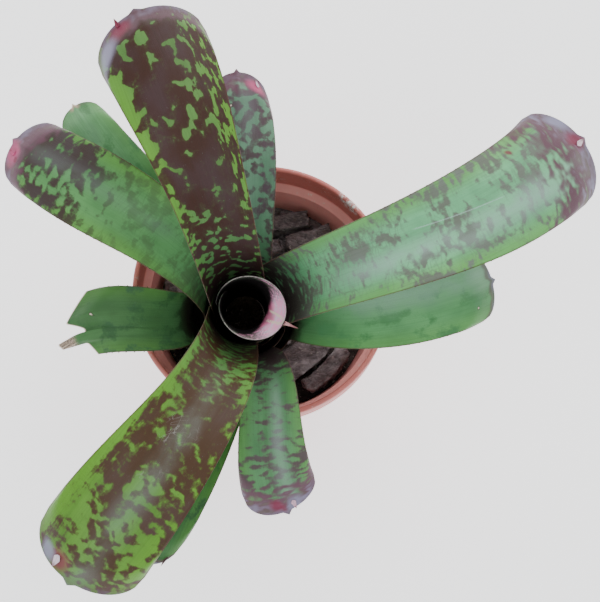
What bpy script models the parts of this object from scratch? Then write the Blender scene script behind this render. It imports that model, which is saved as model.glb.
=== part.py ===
"""A neoregelia bromeliad with mottled strap leaves, rooted in bark in a round plastic pot.

Units are metres, +Z is up, and the origin is the centre of the pot's underside.
The plant leans a little towards -Y. Each leaf is described in the plant's own frame, where
"out" runs away from the plant's axis at the leaf's azimuth, "side" runs a quarter turn
further round, and "up" runs along the axis from the foot of the stem.
"""

import math
import random

import bmesh
import bpy
import numpy as np
from mathutils import Matrix, Vector

MM = 0.001

# Pot: a tapered plastic pot with a stepped collar
POT_HEIGHT = 115 * MM
RIM_RADIUS = 65 * MM
LIP_WIDTH = 2.6 * MM
COLLAR_HEIGHT = 21 * MM
COLLAR_STEP = 4.8 * MM
FOOT_RADIUS = 45 * MM
WALL = 1.8 * MM
FLOOR = 2.4 * MM
FLOOR_RAISE = 2.0 * MM
HUB_RADIUS = 14 * MM
RING_INNER_RADIUS = 38 * MM
DRAIN_HOLES = 8
DRAIN_RADIUS = 4.2 * MM
DRAIN_PITCH_RADIUS = 26 * MM
POT_SIDES = 48

# Growing mix and bark
FIT_GAP = 0.4 * MM
MIX_TOP = 76 * MM
MIX_RELIEF = 1.2 * MM
MIX_SIDES = 36
CHIP_GAP = 0.5 * MM

# Plant: the stem's foot and the lean of its axis
STEM_FOOT = Vector((-10 * MM, -6 * MM, MIX_TOP))
PLANT_AXIS = Vector((4, -18, 107)).normalized()
STEM_RADIUS = 9.5 * MM
STEM_DEPTH = 24 * MM
STEM_TOP = 28 * MM
STEM_SIDES = 20

# Leaves: shared sizes
LEAF_THICK = 1.0 * MM
LEAF_COLUMNS = 8
HEART_COLUMNS = 20
TORN_COLUMNS = 16
SHEATH_ROWS = 5
BLADE_ROWS = 16
ROW_CROWDING = 1.3
STEM_GAP = 1.2 * MM
BULGE_HEIGHT = 16 * MM
OPEN_BY = 0.35
FLATTEN_FROM = 0.2
FLATTEN_BY = 0.9
CAP_POWER = 2.3
SPINE_LENGTH = 2.2 * MM
SPINE_SHARE = 0.1
HOOK = 4 * MM
HOOK_LENGTH = 18 * MM
HEART_SPIRAL = 0.27 * MM
LIP_FROM = 0.35
LIP_SPREAD = 1.3

# One entry for each leaf, from the rolled heart outwards. Lengths are in millimetres.
# ring: sheath radius. foot, collar: heights of the sheath's ends. spine: the points that
# steer the blade's midrib after the collar, as (out, side, up). wrap: half angle held at the
# foot in degrees. widths: four half widths that steer the blade from collar to tip.
# trough: radius of the channel in mid blade. bow: radius of the cross curve at the tip,
# negative where the margins turn down. cap: length of the rounded end. lip: how far the
# rolled heart flares out round its tip. tear: for a torn leaf, how far its end is set back,
# as (share across, set back), negative where a dried strip still hangs on.
LEAVES = {
    "leaf_heart": dict(
        azimuth=-24, ring=11, foot=32, collar=92, wrap=200,
        spine=[(11, 0, 99), (11, 0, 105), (11, 0, 111), (11, 0, 118)],
        widths=(38.4, 38.4, 38.4, 38.4), trough=11, bow=11, cap=12, lip=8,
    ),
    "leaf_back_tall": dict(
        azimuth=114, ring=14.2, foot=24.5, collar=78, wrap=105,
        spine=[(14, 0, 105), (34, -6, 132), (86, -11, 142), (142, -9, 110)],
        widths=(18.5, 10, 25, 29), trough=26, bow=-40, cap=20,
    ),
    "leaf_front_tall": dict(
        azimuth=-126, ring=16.1, foot=22, collar=74, wrap=100,
        spine=[(16, 0, 104), (25, 21, 136), (79, 7, 152), (139, 10, 126)],
        widths=(17, 12, 26, 28), trough=28, bow=-42, cap=19,
    ),
    "leaf_right_tall": dict(
        azimuth=25, ring=18.0, foot=19.5, collar=66, wrap=95,
        spine=[(18, 0, 98), (51, -2, 132), (99, -19, 142), (172, 4, 108)],
        widths=(17, 15, 22, 27), trough=26, bow=-40, cap=14,
    ),
    "leaf_left_back": dict(
        azimuth=146, ring=19.9, foot=17, collar=48, wrap=90,
        spine=[(20, 0, 72), (35, -18, 98), (83, -1, 104), (138, -6, 69)],
        widths=(12, 17, 23, 17), trough=30, bow=-38, cap=11,
    ),
    "leaf_front": dict(
        azimuth=-77, ring=21.8, foot=14.5, collar=44, wrap=85,
        spine=[(22, 0, 64), (28, 16, 86), (56, -10, 98), (97, -1, 80)],
        widths=(10, 10, 16, 19), trough=30, bow=-38, cap=13,
    ),
    "leaf_back": dict(
        azimuth=85, ring=23.7, foot=12, collar=38, wrap=80,
        spine=[(24, 0, 58), (39, 7, 78), (69, 5, 88), (116, 14, 68)],
        widths=(11, 15, 20, 12), trough=30, bow=-38, cap=13,
    ),
    "leaf_right_low": dict(
        azimuth=4, ring=25.6, foot=10, collar=34, wrap=75,
        spine=[(26, 0, 58), (49, -11, 86), (79, -6, 98), (120, 6, 76)],
        widths=(15, 16, 20, 16), trough=32, bow=-120, cap=11,
    ),
    "leaf_left_torn": dict(
        azimuth=-178, ring=27.5, foot=8, collar=28, wrap=70,
        spine=[(28, 0, 42), (35, 10, 58), (57, -6, 66), (87, 6, 52)],
        widths=(11, 16, 17, 15), trough=30, bow=-90, cap=10,
        tear=[
            (-1, 13), (-0.6, 6), (-0.25, -1), (0.1, 8), (0.22, 9), (0.28, -9), (0.5, -7), (0.56, 8), (1, 13),
        ],
    ),
    "leaf_back_old": dict(
        azimuth=130, ring=29.4, foot=6, collar=24, wrap=65,
        spine=[(30, 0, 38), (56, 3, 56), (93, 5, 64), (137, -1, 40)],
        widths=(17, 17, 16, 10), trough=34, bow=-120, cap=11,
    ),
    "leaf_front_low": dict(
        azimuth=-107, ring=31.3, foot=4, collar=24, wrap=60,
        spine=[(32, 0, 44), (48, -5, 70), (82, 0, 88), (127, -9, 72)],
        widths=(16, 18, 16, 9), trough=34, bow=-120, cap=16,
    ),
}

def plant_frame():
    """The matrix that carries the plant's own frame into the part's frame."""
    up = PLANT_AXIS
    across = (Vector((1, 0, 0)) - up * up.x).normalized()
    turn = Matrix((across, up.cross(across), up)).transposed()
    return Matrix.Translation(STEM_FOOT) @ turn.to_4x4()


def smooth(value):
    """Runs from 0 to 1 with level ends, and holds outside that."""
    value = np.clip(value, 0, 1)
    return value * value * (3 - 2 * value)


def bezier(points, share):
    """The point a share of the way along the Bezier curve that the points steer."""
    last = len(points) - 1
    weights = [math.comb(last, k) * (1 - share) ** (last - k) * share ** k for k in range(last + 1)]
    return sum(weight * np.array(point, float) for weight, point in zip(weights, points))


def cut_back(across):
    """How far, as a share of the cap, the end of the blade lies behind the tip at a column."""
    return 1 - (1 - np.abs(across) ** CAP_POWER) ** (1 / CAP_POWER)


def sheath_surface(leaf, across):
    """The foot of a leaf: part of an onion-shaped shell round the plant's axis."""
    ring, foot, collar = (leaf[key] * MM for key in ("ring", "foot", "collar"))
    share = np.linspace(0, 1, SHEATH_ROWS + 1)[:-1, None] ** ROW_CROWDING
    up = foot + (collar - foot) * share
    swell = 1 - (1 - np.clip((up - foot) / BULGE_HEIGHT, 0, 1)) ** 2
    closing = smooth(share)
    angle = (math.radians(leaf["wrap"]) * (1 - closing) + leaf["widths"][0] * MM / ring * closing) * across
    radius = (STEM_RADIUS + STEM_GAP) * (1 - swell) + ring * swell
    if "lip" in leaf:
        radius = radius + HEART_SPIRAL * angle
    return np.stack([radius * np.cos(angle), radius * np.sin(angle), up + 0 * angle], -1)


def blade_surface(leaf, across):
    """The blade: an arc swept along a Bezier midrib, opening out from the sheath's curve."""
    fine = np.linspace(0, 1, 200)[:, None]
    path = bezier([(leaf["ring"], 0, leaf["collar"]), *leaf["spine"]], fine) * MM
    run = np.concatenate([[0], np.cumsum(np.linalg.norm(np.diff(path, axis=0), axis=1))])
    length = run[-1]

    # Rows of points: each column ends at the rounded cap or the torn edge
    end = length - leaf["cap"] * MM * cut_back(across)
    end = end + SPINE_LENGTH * np.exp(-(across / SPINE_SHARE) ** 2)
    if "tear" in leaf:
        end = length - np.interp(across, *zip(*leaf["tear"])) * MM
    at = (1 - (1 - np.linspace(0, 1, BLADE_ROWS + 1)[:, None]) ** ROW_CROWDING) * end

    # Midrib: its points and directions, carried on straight past its last point
    slope = np.gradient(path, axis=0)
    middle = np.stack([np.interp(at, run, path[:, k]) for k in range(3)], -1)
    tangent = np.stack([np.interp(at, run, slope[:, k]) for k in range(3)], -1)
    tangent /= np.linalg.norm(tangent, axis=-1, keepdims=True)
    middle += tangent * np.maximum(at - length, 0)[..., None]
    side = np.array([0.0, 1.0, 0.0]) - tangent * tangent[..., 1:2]
    side /= np.linalg.norm(side, axis=-1, keepdims=True)
    inward = np.cross(tangent, side)

    # Cross curve: the sheath's, then the channel's, then the tip's
    reach = at / length
    opening = smooth(reach / OPEN_BY)
    flattening = smooth((reach - FLATTEN_FROM) / (FLATTEN_BY - FLATTEN_FROM))
    curve = (1 - opening) / (leaf["ring"] * MM) + opening / (leaf["trough"] * MM)
    curve = curve * (1 - flattening) + flattening / (leaf["bow"] * MM)
    bent = bezier(leaf["widths"], reach) * MM * across * curve
    radius = 1 / curve
    if "lip" in leaf:
        flare = smooth((reach - LIP_FROM) / (1 - LIP_FROM)) * np.exp(-(bent / LIP_SPREAD) ** 2)
        radius = radius + HEART_SPIRAL * bent + leaf["lip"] * MM * flare
        droop = 0
    else:
        droop = HOOK * smooth(1 - (end - at) / HOOK_LENGTH)
    sideways = (radius * np.sin(bent))[..., None]
    inwards = (1 / curve - radius * np.cos(bent) - droop)[..., None]
    return middle + side * sideways + inward * inwards


def leaf_surface(leaf, columns):
    """Points of a leaf's middle surface, as an array of rows by columns by (x, y, z)."""
    across = np.linspace(-1, 1, columns + 1)
    surface = np.concatenate([sheath_surface(leaf, across), blade_surface(leaf, across)])
    heading = math.radians(leaf["azimuth"])
    cos, sin = math.cos(heading), math.sin(heading)
    out, side, up = np.moveaxis(surface, -1, 0)
    return np.stack([out * cos - side * sin, out * sin + side * cos, up], -1)


def material(name, colour, roughness):
    made = bpy.data.materials.new(name)
    made.use_nodes = True
    shader = made.node_tree.nodes["Principled BSDF"]
    shader.inputs["Base Color"].default_value = (*colour, 1)
    shader.inputs["Roughness"].default_value = roughness
    shader.inputs["Metallic"].default_value = 0
    return made


def link(name, mesh, finish, collection):
    made = bpy.data.objects.new(name, mesh)
    mesh.materials.append(finish)
    collection.objects.link(made)
    return made


def make_leaf(name, leaf, finish, collection):
    """A grid bent to the leaf's surface, split into triangles, then thickened both ways."""
    columns = HEART_COLUMNS if "lip" in leaf else TORN_COLUMNS if "tear" in leaf else LEAF_COLUMNS
    surface = leaf_surface(leaf, columns)
    rows = surface.shape[0] - 1
    shape = bmesh.new()
    bmesh.ops.create_grid(shape, x_segments=rows, y_segments=columns, size=0.5)
    for vertex in shape.verts:
        row = round((vertex.co.x + 0.5) * rows)
        column = round((vertex.co.y + 0.5) * columns)
        vertex.co = Vector(surface[row, column])
    bmesh.ops.triangulate(shape, faces=shape.faces, quad_method="SHORT_EDGE")
    mesh = bpy.data.meshes.new(name)
    shape.to_mesh(mesh)
    shape.free()
    mesh.shade_smooth()
    made = link(name, mesh, finish, collection)
    made.matrix_world = plant_frame()
    thick = made.modifiers.new("Thickness", "SOLIDIFY")
    thick.thickness = LEAF_THICK
    thick.offset = 0
    return made


def turned(name, profile, sides, finish, collection):
    """A solid of revolution about the Z axis, from a profile of (radius, height) points."""
    mesh = bpy.data.meshes.new(name)
    mesh.from_pydata([(r, 0, z) for r, z in profile], [(i, i + 1) for i in range(len(profile) - 1)], [])
    made = link(name, mesh, finish, collection)
    spin = made.modifiers.new("Spin", "SCREW")
    spin.steps = spin.render_steps = sides
    spin.use_merge_vertices = True
    spin.merge_threshold = 0.01 * MM
    return made


def wall_radius(height):
    """Outer radius of the pot's tapered body."""
    return FOOT_RADIUS + (RIM_RADIUS - COLLAR_STEP - FOOT_RADIUS) * height / (POT_HEIGHT - COLLAR_HEIGHT)


def make_pot(finish, collection, cutters):
    ledge = POT_HEIGHT - COLLAR_HEIGHT
    floor_top = FLOOR_RAISE + FLOOR
    lip = LIP_WIDTH / 2
    turns = [math.radians(turn) for turn in (0, 45, 90, 135, 180)]
    bead = [
        (RIM_RADIUS - lip - lip * math.cos(turn), POT_HEIGHT - lip + lip * math.sin(turn)) for turn in turns
    ]
    profile = [
        (0, floor_top),
        (wall_radius(floor_top) - WALL, floor_top),
        (wall_radius(ledge) - WALL, ledge),
        (RIM_RADIUS - LIP_WIDTH, ledge + 1.5 * MM),
        *bead,
        (RIM_RADIUS - 0.5 * MM, ledge + 0.8 * MM),
        (RIM_RADIUS - 1.4 * MM, ledge),
        (wall_radius(ledge), ledge),
        (wall_radius(0) + 0.4 * MM, 1.2 * MM),
        (FOOT_RADIUS, 0),
        (RING_INNER_RADIUS, 0),
        (RING_INNER_RADIUS - 2 * MM, FLOOR_RAISE),
        (HUB_RADIUS + 2 * MM, FLOOR_RAISE),
        (HUB_RADIUS, 0),
        (0, 0),
    ]
    pot = turned("pot", profile, POT_SIDES, finish, collection)
    shape = bmesh.new()
    for hole in range(DRAIN_HOLES):
        turn = Matrix.Rotation(2 * math.pi * (hole + 0.5) / DRAIN_HOLES, 4, "Z")
        bmesh.ops.create_cone(
            shape, cap_ends=True, segments=12, radius1=DRAIN_RADIUS, radius2=DRAIN_RADIUS, depth=20 * MM,
            matrix=turn @ Matrix.Translation((DRAIN_PITCH_RADIUS, 0, FLOOR_RAISE)),
        )
    mesh = bpy.data.meshes.new("drain_holes")
    shape.to_mesh(mesh)
    shape.free()
    holes = link("drain_holes", mesh, finish, cutters)
    holes.hide_render = True
    holes.display_type = "WIRE"
    cut = pot.modifiers.new("Drain holes", "BOOLEAN")
    cut.operation = "DIFFERENCE"
    cut.object = holes
    return pot


def make_stem(finish, collection):
    """The short woody stem that carries every leaf, hidden inside the sheaths."""
    shape = bmesh.new()
    bmesh.ops.create_cone(
        shape, cap_ends=True, segments=STEM_SIDES, radius1=STEM_RADIUS * 0.8, radius2=STEM_RADIUS,
        depth=STEM_DEPTH + STEM_TOP, matrix=Matrix.Translation((0, 0, (STEM_TOP - STEM_DEPTH) / 2)),
    )
    mesh = bpy.data.meshes.new("stem")
    shape.to_mesh(mesh)
    shape.free()
    stem = link("stem", mesh, finish, collection)
    stem.matrix_world = plant_frame()
    return stem


def make_mix(finish, collection, cutters):
    """The growing mix that fills the pot, with a rough top and a plain hole for the stem."""
    low = FLOOR_RAISE + FLOOR + FIT_GAP

    def inside(height):
        return wall_radius(height) - WALL - FIT_GAP

    top_rings = 5
    across = [inside(MIX_TOP) * ring / top_rings for ring in range(top_rings + 1)]
    profile = [(radius, MIX_TOP) for radius in across] + [(inside(low), low), (0, low)]
    mix = turned("growing_mix", profile, MIX_SIDES, finish, collection)
    graph = bpy.context.evaluated_depsgraph_get()
    mesh = bpy.data.meshes.new_from_object(mix.evaluated_get(graph))
    mix.modifiers.clear()
    mix.data = mesh
    for vertex in mesh.vertices:
        if vertex.co.z > MIX_TOP - 0.1 * MM and vertex.co.xy.length < inside(MIX_TOP) * 0.98:
            x, y = vertex.co.x / MM, vertex.co.y / MM
            vertex.co.z -= MIX_RELIEF * (1 + math.sin(0.41 * x + 0.7) * math.sin(0.37 * y + 1.9)) / 2
    shape = bmesh.new()
    bmesh.ops.create_cone(
        shape, cap_ends=True, segments=STEM_SIDES, radius1=STEM_RADIUS * 0.8 + FIT_GAP,
        radius2=STEM_RADIUS + FIT_GAP, depth=STEM_DEPTH + STEM_TOP + 2 * FIT_GAP,
        matrix=Matrix.Translation((0, 0, (STEM_TOP - STEM_DEPTH) / 2)),
    )
    hole_mesh = bpy.data.meshes.new("stem_hole")
    shape.to_mesh(hole_mesh)
    shape.free()
    hole = link("stem_hole", hole_mesh, finish, cutters)
    hole.matrix_world = plant_frame()
    hole.hide_render = True
    hole.display_type = "WIRE"
    cut = mix.modifiers.new("Stem hole", "BOOLEAN")
    cut.operation = "DIFFERENCE"
    cut.object = hole
    return mix


# Bark chips, in millimetres: (x, y, length, width, thickness, yaw, pitch, bend). The first five
# are the ones that show on the pot's right side: two blocks at the back, a small one beside
# the stem, a broad slab and a long curved block at the front.
CHIPS = [
    (12, 44, 25, 9, 10, 11, 0, 0),
    (24, 34, 26, 11, 13, 15, 0, 0),
    (3, 31, 12, 8, 8, 14, 0, 0),
    (20, -28, 29, 17, 7, 40, 2, 0),
    (32, -35, 30, 9, 14, 45, 0, -2),
    (3, -46, 17, 8, 10, -6, 0, 0),
    (45, 2, 18, 12, 12, 86, 0, 0),
    (-12, 43, 17, 11, 11, -14, 0, 0),
    (-33, 33, 20, 11, 12, 42, 0, 0),
    (-45, 14, 22, 12, 13, 76, 0, 0),
    (-45, -13, 22, 12, 11, -74, 0, 0),
    (-33, -33, 20, 11, 9, -42, 0, 0),
    (-15, -44, 15, 10, 9, -18, 0, 0),
]


def make_chip(number, chip, finish, collection):
    """A chip of bark: a cut-up box with seeded moves of its points, resting on the mix."""
    x, y, length, width, thick, yaw, pitch, bend = chip
    draw = random.Random(100 + number)
    shape = bmesh.new()
    bmesh.ops.create_cube(shape, size=1)
    bmesh.ops.subdivide_edges(shape, edges=shape.edges, cuts=2, use_grid_fill=True)
    for vertex in shape.verts:
        along, across, up = vertex.co
        along *= 1 - 0.16 * draw.random() * (abs(across) + abs(up))
        across *= 1 - 0.30 * draw.random() * (0.5 + abs(along))
        up *= 1 - 0.28 * draw.random() * (up > 0)
        across_mm = across * width + bend * (1 - 4 * along * along)
        vertex.co = Vector((along * length, across_mm, up * thick)) * MM
    bmesh.ops.triangulate(shape, faces=shape.faces)
    name = f"bark_chip_{number:02d}"
    mesh = bpy.data.meshes.new(name)
    shape.to_mesh(mesh)
    shape.free()
    made = link(name, mesh, finish, collection)
    made.rotation_euler = (0, math.radians(pitch), math.radians(yaw))
    turn = made.rotation_euler.to_matrix()
    lowest = min((turn @ vertex.co).z for vertex in mesh.vertices)
    made.location = (x * MM, y * MM, MIX_TOP + CHIP_GAP - lowest)
    return made


def main():
    for old in list(bpy.data.objects):
        bpy.data.objects.remove(old)
    parts = bpy.data.collections.new("neoregelia_bromeliad")
    cutters = bpy.data.collections.new("cutters")
    bpy.context.scene.collection.children.link(parts)
    bpy.context.scene.collection.children.link(cutters)
    plastic = material("terracotta_plastic", (0.45, 0.13, 0.09), 0.5)
    soil = material("growing_mix", (0.05, 0.035, 0.03), 0.95)
    bark = material("bark", (0.10, 0.065, 0.055), 0.9)
    wood = material("stem", (0.22, 0.16, 0.09), 0.8)
    green = material("leaf_green", (0.09, 0.26, 0.07), 0.4)
    make_pot(plastic, parts, cutters)
    make_mix(soil, parts, cutters)
    make_stem(wood, parts)
    for number, chip in enumerate(CHIPS, 1):
        make_chip(number, chip, bark, parts)
    for name, leaf in LEAVES.items():
        make_leaf(name, leaf, green, parts)


main()
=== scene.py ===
"""Looks for a potted neoregelia bromeliad: the leaves, bark, pot, light and camera."""

import math
import random

import bmesh
import bpy
import numpy as np
from mathutils import Matrix, Vector, noise


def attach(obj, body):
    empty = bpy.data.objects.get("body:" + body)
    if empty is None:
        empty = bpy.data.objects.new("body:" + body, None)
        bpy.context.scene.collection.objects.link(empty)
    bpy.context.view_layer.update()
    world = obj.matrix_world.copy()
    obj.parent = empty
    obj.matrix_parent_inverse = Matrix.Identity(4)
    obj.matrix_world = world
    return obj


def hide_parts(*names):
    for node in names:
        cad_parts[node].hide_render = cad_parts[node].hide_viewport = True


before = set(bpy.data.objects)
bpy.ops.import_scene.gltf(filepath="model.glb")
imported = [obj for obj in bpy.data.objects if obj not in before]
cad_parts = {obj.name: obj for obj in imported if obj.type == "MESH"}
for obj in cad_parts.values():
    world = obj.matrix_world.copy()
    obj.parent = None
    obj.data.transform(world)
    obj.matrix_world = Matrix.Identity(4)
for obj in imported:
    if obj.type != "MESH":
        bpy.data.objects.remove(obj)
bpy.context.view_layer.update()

# Camera and light
# The view is from in front and well above, 13 degrees off straight down and 0.6 m from the rim.
# Two wide soft panels light the plant, one from the front left and one from behind on the right,
# and a pale room fills in all round.
CAMERA_TILT = math.radians(13)
CAMERA_DISTANCE = 0.600
FOCAL_PIXELS = 1200
PHOTO_HEIGHT = 602
SENSOR = 36.0
RIM_CENTRE = Vector((0, 0, 0.115))
RIM_OFFSET = (-0.019, 0.006)
PANEL_SIZE = 1.8
AIM = Vector((0, 0, 0.13))
ROOM_TONE = (0.93, 0.96, 1.0, 1)
ROOM_STRENGTH = 0.80

forward = Vector((0, math.sin(CAMERA_TILT), -math.cos(CAMERA_TILT)))
upward = Vector((0, math.cos(CAMERA_TILT), math.sin(CAMERA_TILT)))
rightward = Vector((1, 0, 0))
camera_data = bpy.data.cameras.new("camera")
camera_data.lens = SENSOR * FOCAL_PIXELS / PHOTO_HEIGHT
camera_data.sensor_width = SENSOR
camera = bpy.data.objects.new("camera", camera_data)
turn = Matrix((rightward, upward, -forward)).transposed().to_4x4()
place = RIM_CENTRE - forward * CAMERA_DISTANCE - rightward * RIM_OFFSET[0] - upward * RIM_OFFSET[1]
camera.matrix_world = Matrix.Translation(place) @ turn
bpy.context.scene.collection.objects.link(camera)
bpy.context.scene.camera = camera


def add_panel(name, where, power, colour):
    """A square light panel that faces the middle of the plant."""
    data = bpy.data.lights.new(name, "AREA")
    data.size = PANEL_SIZE
    data.energy = power
    data.color = colour
    panel = bpy.data.objects.new(name, data)
    panel.location = where
    panel.rotation_euler = (AIM - Vector(where)).to_track_quat("-Z", "Y").to_euler()
    bpy.context.scene.collection.objects.link(panel)


add_panel("sky_panel", (-0.5, -0.9, 1.4), 15, (0.93, 0.97, 1.0))
add_panel("back_panel", (0.45, 1.1, 1.1), 24, (1.0, 0.99, 0.97))

world = bpy.data.worlds.new("pale_room")
world.use_nodes = True
world.node_tree.nodes["Background"].inputs["Color"].default_value = ROOM_TONE
world.node_tree.nodes["Background"].inputs["Strength"].default_value = ROOM_STRENGTH
bpy.context.scene.world = world


# Leaves
# Eleven leathery strap leaves, mottled maroon on green, the inmost rolled into a tube. Each
# follows its CAD solid's surface at a finer pitch: a sheath wrapped round the stem, then an arc
# swept along a Bezier midrib.


class Field:
    """One value that runs through a material's nodes, and adds and multiplies like a number."""

    def __init__(self, paint, socket):
        self.paint = paint
        self.socket = socket

    def math(self, operation, *others):
        return self.paint.node("Math", {"operation": operation}, dict(enumerate((self, *others))))

    def __add__(self, other):
        return self.math("ADD", other)

    def __radd__(self, other):
        return self.math("ADD", other)

    def __sub__(self, other):
        return self.math("SUBTRACT", other)

    def __rsub__(self, other):
        return (self * -1) + other

    def __mul__(self, other):
        return self.math("MULTIPLY", other)

    def __rmul__(self, other):
        return self.math("MULTIPLY", other)

    def __truediv__(self, other):
        return self.math("DIVIDE", other)

    def __pow__(self, other):
        return self.math("POWER", other)

    def rise(self, low, high):
        """0 below low and 1 above high, with a smooth rise between; falls where high is the lower."""
        falls = high < low
        limits = {1: min(low, high), 2: max(low, high), 3: float(falls), 4: float(not falls)}
        return self.paint.node("MapRange", {"interpolation_type": "SMOOTHSTEP"}, {0: self, **limits})


class Paint:
    """One material, built up from Fields."""

    def __init__(self, name):
        self.material = bpy.data.materials.new(name)
        self.material.use_nodes = True
        self.tree = self.material.node_tree
        self.shader = self.tree.nodes["Principled BSDF"]

    def plug(self, sockets, values):
        """Sets or links the sockets named in values."""
        for key, value in values.items():
            if isinstance(value, Field):
                self.tree.links.new(value.socket, sockets[key])
            else:
                sockets[key].default_value = value

    def node(self, kind, settings, inputs, output=0):
        """Adds one node: its settings first, then the values or links of its sockets."""
        made = self.tree.nodes.new("ShaderNode" + kind)
        for key, value in settings.items():
            if key == "stops":
                made.color_ramp.interpolation = "EASE"
                stops = made.color_ramp.elements
                for index, (position, height) in enumerate(value):
                    stop = stops[index] if index < len(stops) else stops.new(position)
                    stop.position, stop.color = position, (height, height, height, 1)
            else:
                setattr(made, key, value)
        self.plug(made.inputs, inputs)
        return Field(self, made.outputs[output])

    def value(self, name):
        """A number that the mesh stores at each point."""
        return self.node("Attribute", {"attribute_name": name}, {}, "Fac")

    def place(self, scale=(1, 1, 1)):
        """The point's own place on the object, stretched."""
        where = self.node("TexCoord", {}, {}, "Object")
        return self.node("VectorMath", {"operation": "MULTIPLY"}, {0: where, 1: scale})

    def vector(self, x, y, z=0.0):
        return self.node("CombineXYZ", {}, {0: x, 1: y, 2: z})

    def noise(self, where, scale, detail=3.0, rough=0.55, warp=0.0):
        inputs = {"Vector": where, "Scale": scale, "Detail": detail, "Roughness": rough, "Distortion": warp}
        return self.node("TexNoise", {}, inputs, "Fac")

    def cells(self, where, scale, output="Distance", feature="F1"):
        return self.node("TexVoronoi", {"feature": feature}, {"Vector": where, "Scale": scale}, output)

    def mix(self, share, first, second):
        """From the first colour to the second."""
        first = first if isinstance(first, Field) else (*first, 1)
        second = second if isinstance(second, Field) else (*second, 1)
        return self.node("Mix", {"data_type": "RGBA"}, {0: share, 6: first, 7: second}, 2)

    def curve(self, share, heights):
        """A smooth curve through heights at even steps of share from 0 to 1."""
        stops = [(index / (len(heights) - 1), height) for index, height in enumerate(heights)]
        return self.node("ValToRGB", {"stops": stops}, {0: share})

    def bump(self, height, depth):
        """Raises the surface by height times depth in metres."""
        return self.node("Bump", {}, {"Height": height, "Distance": depth})

    def finish(self, **inputs):
        """Sets the shader's own sockets, each named with _ for a space, and gives the material."""
        self.plug(self.shader.inputs, {key.replace("_", " "): value for key, value in inputs.items()})
        return self.material


def add_piece(name, mesh, material, slot, *nodes, where=(0, 0, 0)):
    """Puts a finished mesh in the scene, in place of the CAD nodes it stands for."""
    piece = bpy.data.objects.new(name, mesh)
    piece.location = where
    bpy.context.scene.collection.objects.link(piece)
    mesh.materials.clear()
    mesh.materials.append(material)
    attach(piece, "root")
    if nodes:
        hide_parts(*nodes)
    return piece


MM = 0.001
STEM_FOOT = Vector((-10 * MM, -6 * MM, 76 * MM))
PLANT_AXIS = Vector((4, -18, 107)).normalized()
STEM_RADIUS = 9.5 * MM
SHEATH_GAP = 1.2 * MM
BULGE_HEIGHT = 16 * MM
CAP_POWER = 2.3
END_POINT = 2.2 * MM
END_POINT_SHARE = 0.07
OPENS_BY = 0.35
FLATTENS_FROM = 0.2
FLATTENS_OVER = 0.7
HOOK = 4 * MM
HOOK_LENGTH = 18 * MM
LIP_FROM = 0.35
LIP_SPREAD = 1.3
HEART_SPIRAL = 0.27 * MM
SPINES_FROM = 4
SPINES_STOP_SHORT = 3
SPINE_PITCH = 4.2
SPINE_BASE = 0.45 * MM
SPINE_REACH = 0.70 * MM
SKIN_HALF = 0.38 * MM
EDGE_HALF = 0.2 * MM
SHEATH_ROWS = 10
BLADE_ROWS = 110
ROW_CROWDING = 1.3
BLADE_COLUMNS = 36
TUBE_COLUMNS = 110

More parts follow.
